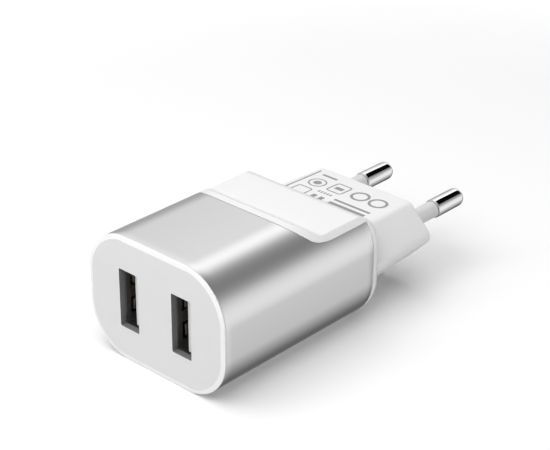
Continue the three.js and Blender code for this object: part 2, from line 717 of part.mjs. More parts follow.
const charger = new THREE.Group();
charger.name = 'usb_wall_charger';
charger.position.set(0, -LENGTH / 2, BODY_TOP);
charger.add(frontCap(), metalSleeve(), rearHousing());
for (const [side, name] of [[-1, 'left'], [1, 'right']]) {
  charger.add(plugPin(side, `${name}_plug_pin`));
  charger.add(pinSleeve(side, `${name}_pin_sleeve`));
  charger.add(pinContact(side, `${name}_pin_contact`));
  charger.add(usbPort(side, name));
}
charger.add(mainBoard(), transformer(), boardParts());

export default charger;
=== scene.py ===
# A USB wall charger with two upright ports and a two-pin Europlug, on a pale floor in studio light.
from math import cos, pi, radians, sin

import bmesh
import bpy
from mathutils import Matrix, Vector
from mathutils.bvhtree import BVHTree
from mathutils.interpolate import poly_3d_calc


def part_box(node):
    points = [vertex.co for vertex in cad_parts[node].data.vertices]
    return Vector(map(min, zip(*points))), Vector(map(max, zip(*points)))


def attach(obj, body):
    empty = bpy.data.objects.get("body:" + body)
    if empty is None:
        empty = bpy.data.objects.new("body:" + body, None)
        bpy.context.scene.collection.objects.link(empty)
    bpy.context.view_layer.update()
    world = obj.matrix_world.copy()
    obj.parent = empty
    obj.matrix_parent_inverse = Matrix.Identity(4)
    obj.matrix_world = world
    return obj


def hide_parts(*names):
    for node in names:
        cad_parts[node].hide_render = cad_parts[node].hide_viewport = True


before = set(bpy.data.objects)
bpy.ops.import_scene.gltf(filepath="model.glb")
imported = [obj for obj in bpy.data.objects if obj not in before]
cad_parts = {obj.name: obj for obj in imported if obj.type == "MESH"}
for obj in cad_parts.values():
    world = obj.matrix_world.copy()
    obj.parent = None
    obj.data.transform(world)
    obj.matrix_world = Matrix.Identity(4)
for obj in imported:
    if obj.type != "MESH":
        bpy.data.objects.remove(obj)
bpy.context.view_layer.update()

# Shapes are drawn in millimetres from the centre of the front face: X right, Y towards the pins, Z up.
MM = 0.001
CAP_LOW, CAP_HIGH = (Vector(corner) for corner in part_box("front_cap"))
FRONT_CENTRE = Vector(((CAP_LOW.x + CAP_HIGH.x) / 2, CAP_LOW.y, (CAP_LOW.z + CAP_HIGH.z) / 2))
FINE = 1e-6


def from_front(point):
    """A place in the row frame, in metres, as millimetres from the centre of the front face."""
    return (Vector(point) - FRONT_CENTRE) / MM


def node_box(node):
    return tuple(from_front(corner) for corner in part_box(node))


# Body
BODY_WIDTH = (CAP_HIGH.x - CAP_LOW.x) / MM
BODY_HEIGHT = (CAP_HIGH.z - CAP_LOW.z) / MM
BODY_TOP = BODY_HEIGHT / 2
BODY_RADIUS = 10
BODY_REAR = 42.9
ARC_STEPS = 24
ROW_STEP = 1.5
# How nearly two normals agree, as a cosine, when they belong to the same surface
SAME_SURFACE = 0.97
# How far the cutting shapes stand out past what they cut
CLEAR = 5

# Metal sleeve and its cut-out, seen from the side
SLEEVE_LOW, SLEEVE_HIGH = node_box("metal_sleeve")
SLEEVE_WALL = 0.6
SLEEVE_EDGE = 0.12
CUT_FRONT = 22.85
CUT_SLOPE_END = (26.1, 10.3)
CUT_BEND = (27.6, 9.1)
CUT_FLAT = (32, 9.1)

# Housing
SEAM = 0.05
RIM_FRONT = SLEEVE_HIGH.y + SEAM
RIM_ROUNDING = 1.1
RIM_STEPS = 8
ENVELOPE_FRONT = 5.0
HOUSING_OFFSET = SLEEVE_WALL + SEAM
HOUSING_FRONT = 1.7
INNER_OFFSET = 2.2
CAVITY_REAR = 39.9
CAVITY_STEP_FRONT = 22.5
CAVITY_STEP_HEIGHT = 8.8
LIP_REAR = 24.7
STEP_HEIGHT = 10.3
STEP_FOOT = 28.7
STEP_FOOT_REACH = 0.8
STEP_REAR = 39.2

# Plug base
BASE_CENTRE = -0.93
BASE_FRONT = 42.5
BASE_REAR = node_box("rear_housing")[1].y
BASE_HALF_HEIGHT = 6.85
BASE_TOP_CORNER = 12.2
BASE_SIDE_CORNER = 18.4
BASE_TAPER = (0.036, 0.095)
BASE_EDGE = 0.45
BASE_EDGE_STEPS = 6
BASE_SIDE_CUT = 2.2
BASE_TOP_CUT = 0.9
BASE_HOLLOW = (10.6, 15.5, 5.05)
BASE_HOLLOW_REAR = 57.4

# Front cap
CAP_BORDER = 1.0
CAP_FLANGE = 0.4
CAP_PLATE = 1.4
CAP_SPIGOT_REAR = 4.0
CAP_SPIGOT_WALL = 1.2

# Pins and their insulating covers
PIN_TAIL_RADIUS = 1.3
PIN_CORE_RADIUS = 1.2
PIN_RADIUS = 2.0
PIN_COLLAR_RADIUS = 2.4
PIN_COLLAR = (56.4, 57.2)
PIN_METAL_FRONT = 70.2
PIN_TIP_LENGTH = 1.5
PIN_NOSE_RADIUS = 0.7
PIN_HOLE_RADIUS = 1.88
COVER_BORE = 1.35

# Ports
PORT_OPENING = (4.95, 12.2)
SHELL_WALL = 0.3
FINGER_HEIGHT = 2.95
FINGER_HALF_WIDTH = 1.15
SLIT_WIDTH = 0.6
SLIT_FRONT = 2.8
SLIT_REAR = 7.5
FINGER_BOW = 0.32
FINGER_STEPS = 12
FINGER_CREST = 0.75
LEG = (9, 11)

# Printed marks, from just under the base's top to just above it
MARK_SINK = -0.03
MARK_LIFT = 0.012

# Camera
CAMERA_TARGET = Vector((-4.533, -2.258, 15.837)) * MM
CAMERA_DISTANCE = 323.03 * MM
CAMERA_AZIMUTH = radians(42.616)
CAMERA_ELEVATION = radians(27.217)
CAMERA_ROLL = radians(0.257)
CAMERA_LENS = 106.63


# Mesh tools

def mesh_object(name, points, faces):
    mesh = bpy.data.meshes.new(name)
    mesh.from_pydata([FRONT_CENTRE + Vector(p) * MM for p in points], [], faces)
    work = bmesh.new()
    work.from_mesh(mesh)
    bmesh.ops.recalc_face_normals(work, faces=work.faces)
    work.to_mesh(mesh)
    work.free()
    obj = bpy.data.objects.new(name, mesh)
    bpy.context.scene.collection.objects.link(obj)
    return obj


def bands(count, rows, closed=False):
    """The side faces between neighbouring rows of count points each."""
    faces = []
    for row in range(rows if closed else rows - 1):
        here = row * count
        there = ((row + 1) % rows) * count
        for i in range(count):
            j = (i + 1) % count
            faces.append((here + i, here + j, there + j, there + i))
    return faces


def loft(name, sections, ring=False):
    """A closed mesh through outlines of the same number of points, with flat ends, or joined as a ring."""
    count = len(sections[0])
    points = [point for section in sections for point in section]
    faces = bands(count, len(sections), ring)
    if not ring:
        faces.append(tuple(reversed(range(count))))
        faces.append(tuple(range(len(points) - count, len(points))))
    return mesh_object(name, points, faces)


def lathe(name, profile, centre, segments=64):
    """Turns (radius, y) pairs round an axis along Y. A profile clear of the axis closes on itself."""
    solid = profile[0][0] == 0
    turned = profile[1:-1] if solid else profile
    x, z = centre
    points = []
    for radius, y in turned:
        for i in range(segments):
            a = 2 * pi * i / segments
            points.append((x + radius * cos(a), y, z + radius * sin(a)))
    faces = bands(segments, len(turned), not solid)
    if solid:
        for end, row in ((profile[0], 0), (profile[-1], len(turned) - 1)):
            points.append((x, end[1], z))
            tip = len(points) - 1
            for i in range(segments):
                faces.append((row * segments + i, row * segments + (i + 1) % segments, tip))
    return mesh_object(name, points, faces)


def apply_modifiers(obj):
    shown = obj.evaluated_get(bpy.context.evaluated_depsgraph_get())
    mesh = bpy.data.meshes.new_from_object(shown)
    obj.modifiers.clear()
    obj.data = mesh


def combine(target, tool, operation):
    """Joins, cuts or intersects target with tool, and removes the tool."""
    step = target.modifiers.new("step", "BOOLEAN")
    step.operation = operation
    step.object = tool
    step.solver = "EXACT"
    bpy.context.view_layer.update()
    apply_modifiers(target)
    bpy.data.objects.remove(tool)
    return target


def cut(target, *tools):
    for tool in tools:
        combine(target, tool, "DIFFERENCE")
    return target


def join(target, *tools):
    for tool in tools:
        combine(target, tool, "UNION")
    return target


def keep_common(target, tool):
    return combine(target, tool, "INTERSECT")


def tidy_mesh(obj, flatten=False, crease=None):
    work = bmesh.new()
    work.from_mesh(obj.data)
    bmesh.ops.remove_doubles(work, verts=work.verts, dist=FINE)
    bmesh.ops.dissolve_degenerate(work, edges=work.edges, dist=FINE)
    if flatten:
        bmesh.ops.dissolve_limit(work, angle_limit=radians(0.1), verts=work.verts, edges=work.edges)
    for edge in work.edges:
        if crease and len(edge.link_faces) == 2:
            edge.smooth = edge.calc_face_angle() < crease
    work.to_mesh(obj.data)
    work.free()


def finish_edges(obj, width, angle=35, segments=3, flatten=False):
    """Rounds the sharp edges by width, or keeps them sharp at no width, and shades the rest smooth."""
    tidy_mesh(obj, flatten, None if width else radians(angle))
    for polygon in obj.data.polygons:
        polygon.use_smooth = True
    if width:
        edge = obj.modifiers.new("edge", "BEVEL")
        edge.limit_method = "ANGLE"
        edge.angle_limit = radians(angle)
        edge.width = width * MM
        edge.segments = segments
        edge.miter_outer = "MITER_ARC"
    weights = obj.modifiers.new("weights", "WEIGHTED_NORMAL")
    weights.keep_sharp = True
    apply_modifiers(obj)
    return obj


def follow_normals(obj, points, normals, faces):
    """Shades the outside like the uncut surface, because a cut leaves slivers that bend the shading."""
    tree = BVHTree.FromPolygons(points, faces)
    mesh = obj.data
    shading = [corner.vector.copy() for corner in mesh.corner_normals]
    for polygon in mesh.polygons:
        for loop in polygon.loop_indices:
            spot, _, face, _ = tree.find_nearest(mesh.vertices[mesh.loops[loop].vertex_index].co)
            weights = poly_3d_calc([points[i] for i in faces[face]], spot)
            parts = [normals[i] * weight for i, weight in zip(faces[face], weights)]
            normal = sum(parts, Vector()).normalized()
            if polygon.normal.dot(normal) > SAME_SURFACE:
                shading[loop] = normal
    mesh.normals_split_custom_set(shading)
    return obj


# Outlines

def arc(centre, radius, start, end, steps):
    for i in range(steps + 1):
        a = radians(start + (end - start) * i / steps)
        yield (centre[0] + radius * cos(a), centre[1] + radius * sin(a))


def curve(start, bend, end, steps=10):
    for i in range(1, steps + 1):
        t = i / steps
        yield tuple((1 - t) ** 2 * a + 2 * t * (1 - t) * b + t * t * c for a, b, c in zip(start, bend, end))


def rounded_rectangle(width, height, radius, steps=ARC_STEPS):
    x = width / 2 - radius
    z = height / 2 - radius
    points = []
    for turn, (cx, cz) in enumerate(((x, z), (-x, z), (-x, -z), (x, -z))):
        points.extend(arc((cx, cz), radius, 90 * turn, 90 * turn + 90, steps))
    return points


def body_outline(offset=0.0):
    return rounded_rectangle(BODY_WIDTH - 2 * offset, BODY_HEIGHT - 2 * offset, BODY_RADIUS - offset)


def at_depth(outline, y):
    return [(x, y, z) for x, z in outline]


def body_rows(rows):
    """Body outlines for (offset, y) pairs."""
    return [at_depth(body_outline(offset), y) for offset, y in rows]


def body_run(offset, y0, y1):
    """Rows about ROW_STEP apart, so that smooth shading stays true along the body."""
    count = max(1, round((y1 - y0) / ROW_STEP))
    return [(offset, y0 + (y1 - y0) * i / count) for i in range(count + 1)]


def body_prism(name, offset, y0, y1):
    return loft(name, body_rows(((offset, y0), (offset, y1))))


def side_prism(name, outline):
    """A (y, z) outline drawn right across the body."""
    return loft(name, [[(x, y, z) for y, z in outline] for x in (-BODY_WIDTH, BODY_WIDTH)])


def block(name, x, y, z):
    corners = [(y[0], z[0]), (y[1], z[0]), (y[1], z[1]), (y[0], z[1])]
    return loft(name, [[(side, b, c) for b, c in corners] for side in x])


def rounded_corners(corners, steps=8):
    """A closed outline whose corners, (x, z, cut), are rounded over the cut length of each side."""
    points = []
    for i, (x, z, length) in enumerate(corners):
        corner = Vector((x, z))
        before = Vector(corners[i - 1][:2]) - corner
        after = Vector(corners[(i + 1) % len(corners)][:2]) - corner
        start = corner + before.normalized() * length
        end = corner + after.normalized() * length
        points.append(tuple(start))
        points.extend(curve(start, corner, end, steps))
    return points


# Profiles of the cut and the step, seen from the side

def above_cut(gap, with_rim=False):
    """Everything above the sleeve's cut line, and behind the sleeve too if asked."""
    high = BODY_TOP + CLEAR
    outline = [(CUT_FRONT - 2 + gap, high), (CUT_FRONT + gap, BODY_TOP + gap)]
    start = (CUT_SLOPE_END[0] + gap, CUT_SLOPE_END[1] + gap)
    outline.append(start)
    outline.extend(curve(start, (CUT_BEND[0] + gap, CUT_BEND[1] + gap), (CUT_FLAT[0], CUT_FLAT[1] + gap)))
    if with_rim:
        outline.append((RIM_FRONT, CUT_FLAT[1] + gap))
        outline.append((RIM_FRONT, -high))
        outline.append((BODY_REAR + CLEAR, -high))
    else:
        outline.append((BODY_REAR + CLEAR, CUT_FLAT[1] + gap))
    outline.append((BODY_REAR + CLEAR, high))
    return side_prism("above_cut", outline)


def above_step():
    high = BODY_TOP + CLEAR
    drop = BODY_REAR - STEP_REAR
    foot = STEP_FOOT_REACH
    outline = [(LIP_REAR, high), (LIP_REAR, BODY_TOP)]
    start = (STEP_FOOT - foot, STEP_HEIGHT + foot * 0.7)
    outline.append(start)
    outline.extend(curve(start, (STEP_FOOT, STEP_HEIGHT), (STEP_FOOT + foot, STEP_HEIGHT), 6))
    outline.extend(arc((STEP_REAR, STEP_HEIGHT - drop), drop, 90, 0, ARC_STEPS))
    outline.append((BODY_REAR + CLEAR, STEP_HEIGHT - drop))
    outline.append((BODY_REAR + CLEAR, high))
    return side_prism("above_step", outline)


def base_section(y, top_corner, side_corner, half_height, inset=0.0):
    along = (y - BODY_REAR) / (BASE_REAR - BODY_REAR)
    wide = 1 - BASE_TAPER[0] * along
    high = 1 - BASE_TAPER[1] * along
    top, side, up = top_corner - inset, side_corner - inset, half_height - inset
    outline = rounded_corners([
        (side, 0, BASE_SIDE_CUT), (top, up, BASE_TOP_CUT), (-top, up, BASE_TOP_CUT),
        (-side, 0, BASE_SIDE_CUT), (-top, -up, BASE_TOP_CUT), (top, -up, BASE_TOP_CUT),
    ])
    return [(x * wide, y, BASE_CENTRE + z * high) for x, z in outline]


def base_solid():
    rows = [(BASE_FRONT, 0.0)]
    for i in range(BASE_EDGE_STEPS + 1):
        a = i / BASE_EDGE_STEPS * pi / 2
        rows.append((BASE_REAR - BASE_EDGE * (1 - sin(a)), BASE_EDGE * (1 - cos(a))))
    size = (BASE_TOP_CORNER, BASE_SIDE_CORNER, BASE_HALF_HEIGHT)
    return loft("base", [base_section(y, *size, inset) for y, inset in rows])


# The pieces

def front_cap():
    rows = [(CAP_BORDER + 0.06, 0.0), (CAP_BORDER - 0.06, 0.015), (0.1, 0.2), (0.03, 0.25), (0.0, 0.32)]
    rows += [(0.0, CAP_FLANGE), (HOUSING_OFFSET, CAP_FLANGE), (HOUSING_OFFSET, CAP_PLATE)]
    spigot = INNER_OFFSET + SEAM
    bore = spigot + CAP_SPIGOT_WALL
    rows += [(spigot, CAP_PLATE), (spigot, CAP_SPIGOT_REAR), (bore, CAP_SPIGOT_REAR), (bore, CAP_PLATE)]
    cap = loft("front_face", body_rows(rows))
    width, height = PORT_OPENING
    for low, high in PORTS:
        centre = (low.x + high.x) / 2
        flare = ((0.1, -0.2), (0.05, 0.0), (0.015, 0.02), (0.0, 0.06), (0.0, CAP_PLATE + 0.5))
        sections = []
        for extra, y in flare:
            outline = rounded_rectangle(width + 2 * extra, height + 2 * extra, 0.25 + extra, 6)
            sections.append([(centre + x, y, z) for x, z in outline])
        cut(cap, loft("mouth", sections))
    return finish_edges(cap, 0, 45, flatten=True)


def metal_sleeve():
    low, high, edge = SLEEVE_LOW.y, SLEEVE_HIGH.y, SLEEVE_EDGE
    rows = [(edge, low), (edge * 0.3, low + edge * 0.3)] + body_run(0.0, low + edge, high - edge)
    rows += [(edge * 0.3, high - edge * 0.3), (edge, high), (SLEEVE_WALL, high), (SLEEVE_WALL, low)]
    sleeve = loft("sleeve", body_rows(rows), ring=True)
    points = [vertex.co.copy() for vertex in sleeve.data.vertices]
    normals = [vertex.normal.copy() for vertex in sleeve.data.vertices]
    faces = [list(polygon.vertices) for polygon in sleeve.data.polygons]
    cut(sleeve, above_cut(0))
    return follow_normals(finish_edges(sleeve, 0, 45), points, normals, faces)


def housing_cavity():
    hollow = body_prism("hollow", INNER_OFFSET, HOUSING_FRONT - 1, CAVITY_REAR)
    wide = (-BODY_WIDTH, BODY_WIDTH)
    cut(hollow, block("ceiling", wide, (CAVITY_STEP_FRONT, BODY_REAR), (CAVITY_STEP_HEIGHT, BODY_HEIGHT)))
    sections = [base_section(y, *BASE_HOLLOW) for y in (CAVITY_REAR - 1, BASE_HOLLOW_REAR)]
    return join(hollow, loft("base_hollow", sections))


def body_envelope():
    rows = body_run(0.0, ENVELOPE_FRONT, BODY_REAR - RIM_ROUNDING)
    for i in range(1, RIM_STEPS + 1):
        a = i / RIM_STEPS * pi / 2
        rows.append((RIM_ROUNDING * (1 - cos(a)), BODY_REAR - RIM_ROUNDING * (1 - sin(a))))
    return loft("envelope", body_rows(rows))


def rear_housing():
    housing = body_prism("housing", HOUSING_OFFSET, HOUSING_FRONT, RIM_FRONT + 0.4)
    join(housing, keep_common(body_envelope(), above_cut(SEAM, with_rim=True)))
    cut(housing, above_step())
    join(housing, base_solid())
    cut(housing, housing_cavity())
    for low, high in PINS:
        centre = ((low.x + high.x) / 2, BASE_CENTRE)
        front, radius = PIN_COLLAR[0], PIN_HOLE_RADIUS
        hole = [(0, front), (radius, front), (radius, BASE_REAR - 0.2), (radius + 0.12, BASE_REAR - 0.03)]
        hole += [(radius + 0.27, BASE_REAR + 0.3), (0, BASE_REAR + 0.3)]
        cut(housing, lathe("hole", hole, centre))
    return finish_edges(housing, 0.09, 32, 3)


def plug_pin(name, low, high):
    collar_front, collar_rear = PIN_COLLAR
    profile = [(0, low.y), (PIN_TAIL_RADIUS, low.y), (PIN_TAIL_RADIUS, collar_front)]
    profile += [(PIN_COLLAR_RADIUS, collar_front), (PIN_COLLAR_RADIUS, collar_rear)]
    profile += [(PIN_CORE_RADIUS, collar_rear), (PIN_CORE_RADIUS, PIN_METAL_FRONT)]
    for shrink, y in ((0.15, 0), (0.07, 0.02), (0.02, 0.08), (0, 0.18)):
        profile.append((PIN_RADIUS - shrink, PIN_METAL_FRONT + y))
    rounding = PIN_RADIUS - PIN_NOSE_RADIUS
    for across, along in arc((0, 0), 1.0, 0, 90, 14):
        y = high.y - PIN_TIP_LENGTH * (1 - along)
        profile.append((PIN_NOSE_RADIUS + across * rounding, y))
    profile.append((0, high.y))
    centre = ((low.x + high.x) / 2, (low.z + high.z) / 2)
    return smooth(lathe(name, profile, centre), 40)


def pin_sleeve(name, low, high):
    outer = (high.x - low.x) / 2
    rear = high.y
    profile = [(COVER_BORE, low.y), (outer, low.y), (outer, rear - 0.15)]
    profile += [(outer - 0.05, rear - 0.04), (outer - 0.14, rear), (COVER_BORE, rear)]
    centre = ((low.x + high.x) / 2, (low.z + high.z) / 2)
    return smooth(lathe(name, profile, centre), 40)


def smooth(obj, angle):
    for polygon in obj.data.polygons:
        polygon.use_smooth = True
    obj.data.set_sharp_from_angle(angle=radians(angle))
    return obj


def port_finger(centre, side, wall, height):
    """A spring finger of the shell, bowed into the port."""
    rows = []
    root, tip = SLIT_REAR + 0.4, SLIT_FRONT + SLIT_WIDTH
    for i in range(FINGER_STEPS + 1):
        t = i / FINGER_STEPS
        y = root + (tip - root) * t
        lift = max(0.0, (t - FINGER_CREST) / (1 - FINGER_CREST)) ** 1.5
        inward = FINGER_BOW * (sin(min(1.0, t / FINGER_CREST) * pi / 2) - 0.55 * lift)
        inner = centre + side * (wall - inward)
        outer = inner + side * SHELL_WALL
        low, high = height - FINGER_HALF_WIDTH, height + FINGER_HALF_WIDTH
        rows.append([(inner, y, low), (outer, y, low), (outer, y, high), (inner, y, high)])
    return loft("finger", rows)


def port_shell(name, low, high):
    centre = (low.x + high.x) / 2
    width, height = high.x - low.x, 2 * high.z
    front, rear = low.y, high.y
    outer = [(centre + x, z) for x, z in rounded_rectangle(width, height, 0.6, 8)]
    bore = rounded_rectangle(width - 2 * SHELL_WALL, height - 2 * SHELL_WALL, 0.3, 8)
    inner = [(centre + x, z) for x, z in bore]
    rows = [at_depth(outer, front), at_depth(outer, rear), at_depth(inner, rear), at_depth(inner, front)]
    shell = loft(name, rows, ring=True)
    wall = width / 2 - SHELL_WALL
    for side in (-1, 1):
        through = sorted((centre + side * (wall - 0.3), centre + side * (width / 2 + 0.3)))
        for level in (-FINGER_HEIGHT, FINGER_HEIGHT):
            half = FINGER_HALF_WIDTH + SLIT_WIDTH
            cut(shell, block("slit", through, (SLIT_FRONT, SLIT_REAR), (level - half, level + half)))
            join(shell, port_finger(centre, side, wall, level))
        leg = sorted((centre + side * wall, centre + side * width / 2))
        join(shell, block("leg", leg, LEG, (low.z, -high.z + 0.2)))
    return finish_edges(shell, 0.03, 40, 2, flatten=True)


def base_top(x, y, lift):
    along = (y - BODY_REAR) / (BASE_REAR - BODY_REAR)
    return (x, y, BASE_CENTRE + BASE_HALF_HEIGHT * (1 - BASE_TAPER[1] * along) + lift)


def printed(outlines):
    """A flat mark between an outer outline and, if given, an inner one, just proud of the base's top."""
    low, high = MARK_SINK, MARK_LIFT
    outer = outlines[0]
    rows = [[base_top(x, y, low) for x, y in outer], [base_top(x, y, high) for x, y in outer]]
    if len(outlines) > 1:
        inner = outlines[1]
        rows += [[base_top(x, y, high) for x, y in inner], [base_top(x, y, low) for x, y in inner]]
    return loft("mark", rows, ring=len(outlines) > 1)


def bar(x0, x1, y0, y1):
    return printed([[(x0, y0), (x1, y0), (x1, y1), (x0, y1)]])


def ring(x, y, radius, line):
    return printed([list(arc((x, y), r, 0, 352.5, 47)) for r in (radius, radius - line)])


def disc(x, y, radius):
    return printed([list(arc((x, y), radius, 0, 345, 23))])


def frame_mark(x, y, width, height, line):
    outlines = []
    for inset in (0, line):
        outline = rounded_rectangle(width - 2 * inset, height - 2 * inset, 0.7 - inset, 5)
        outlines.append([(x + a, y + b) for a, b in outline])
    return printed(outlines)


def bar_row(x, y, count, step, size):
    return [bar(x + step * i, x + step * i + size[0], y, y + size[1]) for i in range(count)]


def base_marks():
    """Plain printed marks on the base's top: bars, rings, discs and frames, with no lettering."""
    marks = [bar(-11, -10.6, 46.6, 58.3), bar(-9.3, -5.4, 56.7, 57.4)]
    marks += [frame_mark(-7.6, 48.4, 3.8, 3.4, 0.32), ring(-7.4, 53.2, 2, 0.34), disc(-7.4, 53.2, 0.9)]
    marks += [frame_mark(-2.2, 54, 4, 4.4, 0.34), bar(-3.2, -1.2, 53.4, 54.6)]
    marks += [ring(3.2, 54.2, 2.1, 0.6), ring(7.8, 54.2, 2.1, 0.6)]
    marks += bar_row(-4.6, 49.9, 5, 0.75, (0.4, 0.8)) + bar_row(-4.3, 46.8, 2, 1.9, (1.1, 1.8))
    marks += [bar(0.4, 9.6, 49.1, 49.8), bar(0.4, 9.6, 46.9, 48.2)]
    first = marks[0]
    chosen = {"active_object": first, "selected_editable_objects": marks, "selected_objects": marks}
    with bpy.context.temp_override(**chosen):
        bpy.ops.object.join()
    first.name = "base_marks"
    return first


# Finishes

class Finish:
    """A procedural material: a base shader, mottled colour and roughness, and a fine bump."""

    def __init__(self, name, colour, roughness, metallic=0.0):
        self.material = bpy.data.materials.new(name)
        self.material.use_nodes = True
        self.tree = self.material.node_tree
        self.shader = self.tree.nodes["Principled BSDF"]
        self.colour = colour
        self.roughness = roughness
        self.shader.inputs["Metallic"].default_value = metallic
        self.place = self.tree.nodes.new("ShaderNodeTexCoord").outputs["Object"]

    def noise(self, scale, stretch=(1, 1, 1), detail=3.0):
        mapping = self.tree.nodes.new("ShaderNodeMapping")
        mapping.inputs["Scale"].default_value = [scale * s for s in stretch]
        texture = self.tree.nodes.new("ShaderNodeTexNoise")
        texture.inputs["Scale"].default_value = 1.0
        texture.inputs["Detail"].default_value = detail
        self.tree.links.new(self.place, mapping.inputs["Vector"])
        self.tree.links.new(mapping.outputs["Vector"], texture.inputs["Vector"])
        return texture.outputs["Fac"]

    def mottle(self, scale, spread, roughness_spread, stretch=(1, 1, 1)):
        """The colour varies by spread and the roughness by roughness_spread, either side of its value."""
        factor = self.noise(scale, stretch)
        ramp = self.tree.nodes.new("ShaderNodeValToRGB")
        for element, side in zip(ramp.color_ramp.elements, (1 - spread, 1 + spread)):
            element.color = [min(1.0, c * side) for c in self.colour] + [1]
        ramp.color_ramp.elements[0].position = 0.3
        ramp.color_ramp.elements[1].position = 0.7
        self.tree.links.new(factor, ramp.inputs["Fac"])
        self.tree.links.new(ramp.outputs["Color"], self.shader.inputs["Base Color"])
        change = self.tree.nodes.new("ShaderNodeMapRange")
        change.inputs["To Min"].default_value = self.roughness - roughness_spread
        change.inputs["To Max"].default_value = self.roughness + roughness_spread
        self.tree.links.new(factor, change.inputs["Value"])
        self.tree.links.new(change.outputs["Result"], self.shader.inputs["Roughness"])
        return self

    def bump(self, scale, height, stretch=(1, 1, 1), strength=0.5):
        """A relief of noise, with its height in millimetres."""
        relief = self.tree.nodes.new("ShaderNodeBump")
        relief.inputs["Strength"].default_value = strength
        relief.inputs["Distance"].default_value = height * MM
        self.tree.links.new(self.noise(scale, stretch, 2.0), relief.inputs["Height"])
        self.tree.links.new(relief.outputs["Normal"], self.shader.inputs["Normal"])
        return self


# slot: colour, roughness, metallic, mottle scale, colour spread, roughness spread, bump scale, bump height
ALONG = (1, 0.04, 1)
FINISHES = {
    "white_plastic": ((0.9, 0.9, 0.9), 0.36, 0, 160, 0.006, 0.03, 5000, 0.004),
    # A greyer copy of the white plastic for the flat front face: painted shade for the dimmer light the
    # front receives.
    "face_plastic_painted_shade": ((0.73, 0.73, 0.73), 0.42, 0, 160, 0.006, 0.03, 5000, 0.004),
    # A dark copy of the white plastic for the walls of the port openings: painted shade of the recess.
    "opening_painted_shade": ((0.2, 0.2, 0.2), 0.5, 0, 160, 0.02, 0.03, 5000, 0.004),
    "satin_aluminium": ((0.86, 0.86, 0.865), 0.3, 1, 9000, 0.012, 0.02, 14000, 0.0012),
    "nickel_plate": ((0.9, 0.9, 0.9), 0.06, 1, 900, 0.01, 0.02, 3000, 0.0006),
    "sleeve_plastic": ((0.8, 0.8, 0.8), 0.42, 0, 400, 0.012, 0.04, 5000, 0.004),
    "mark_ink": ((0.3, 0.3, 0.3), 0.5, 0, 900, 0.05, 0.05, 6000, 0.003),
    "shell_steel": ((0.55, 0.55, 0.56), 0.42, 1, 1500, 0.05, 0.06, 4000, 0.003),
    # The tongues' white plastic is darkened here: painted shade of the port they sit in.
    "tongue_plastic": ((0.62, 0.62, 0.61), 0.45, 0, 500, 0.012, 0.04, 4000, 0.004),
    "contact_bronze": ((0.75, 0.58, 0.3), 0.28, 1, 1200, 0.03, 0.05, 4000, 0.002),
    "board_laminate": ((0.05, 0.16, 0.07), 0.5, 0, 700, 0.12, 0.08, 1600, 0.012),
    "ferrite": ((0.045, 0.045, 0.048), 0.68, 0, 1500, 0.15, 0.08, 3500, 0.015),
    "bobbin_plastic": ((0.02, 0.02, 0.022), 0.45, 0, 600, 0.1, 0.05, 2500, 0.008),
    "copper_winding": ((0.62, 0.28, 0.11), 0.32, 1, 900, 0.08, 0.06, 3000, 0.03),
    "yellow_tape": ((0.72, 0.5, 0.06), 0.38, 0, 500, 0.05, 0.05, 1500, 0.01),
    "capacitor_film": ((0.025, 0.045, 0.11), 0.3, 0, 500, 0.06, 0.05, 1800, 0.006),
    "disc_ceramic": ((0.03, 0.12, 0.4), 0.4, 0, 700, 0.06, 0.06, 1500, 0.02),
    "component_epoxy": ((0.022, 0.022, 0.025), 0.55, 0, 1500, 0.12, 0.06, 4500, 0.01),
    "resistor_coat": ((0.2, 0.33, 0.15), 0.5, 0, 900, 0.08, 0.06, 2500, 0.015),
    "barrier_sheet": ((0.78, 0.75, 0.64), 0.5, 0, 800, 0.04, 0.05, 2500, 0.01),
}


def make_finishes():
    finishes = {}
    for slot, values in FINISHES.items():
        colour, roughness, metallic, scale, spread, roughness_spread, bump_scale, bump_height = values
        stretch = ALONG if slot == "satin_aluminium" else (1, 1, 1)
        finish = Finish("finish_" + slot, colour, roughness, metallic)
        finish.mottle(scale, spread, roughness_spread, stretch).bump(bump_scale, bump_height, stretch)
        finishes[slot] = finish.material
    return finishes


# Putting it together

def settle(piece, slot, *nodes, finish=None):
    """Hangs the piece under its body, gives it the finish of its slot or the one given, and hides the nodes
    it stands for.
    """
    piece.data.materials.clear()
    piece.data.materials.append(MATERIALS[finish or slot])
    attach(piece, "charger")
    if nodes:
        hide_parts(*nodes)
    return piece


def in_opening(place):
    return any(low.x < place.x < high.x for low, high in PORTS) and abs(place.z) < PORT_OPENING[1] / 2 + 0.05


def dress_cap(cap):
    """The flat face inside the border gets a greyer copy of the white plastic, painted shade for the dimmer
    light on the front, and the openings' walls get a dark copy, painted shade of the recess.
    """
    cap.data.materials.append(MATERIALS["face_plastic_painted_shade"])
    cap.data.materials.append(MATERIALS["opening_painted_shade"])
    inner_top = BODY_TOP - CAP_BORDER - 0.02
    for polygon in cap.data.polygons:
        place = from_front(polygon.center)
        # Painted shade: the flat front face takes the greyer copy of the white plastic.
        if polygon.normal.y < -0.98 and place.y < 0.012 and abs(place.z) < inner_top:
            polygon.material_index = 1
        # Painted shade: the openings' walls take the dark copy of the white plastic.
        elif abs(polygon.normal.y) < 0.5 and place.y < CAP_PLATE and in_opening(place):
            polygon.material_index = 2


def build():
    cap = settle(front_cap(), "white_plastic", "front_cap")
    dress_cap(cap)
    settle(metal_sleeve(), "satin_aluminium", "metal_sleeve")
    settle(rear_housing(), "white_plastic", "rear_housing")
    for side, pin, port in zip(("left", "right"), PINS, PORTS):
        name = f"{side}_plug_pin"
        settle(plug_pin(f"{side}_pin", *pin), "nickel_plate", name)
        name = f"{side}_pin_sleeve"
        settle(pin_sleeve(f"{side}_pin_cover", *node_box(name)), "sleeve_plastic", name)
        settle(port_shell(f"{side}_shell", *port), "shell_steel", f"{side}_port_shell")
    settle(base_marks(), "sleeve_plastic", finish="mark_ink")


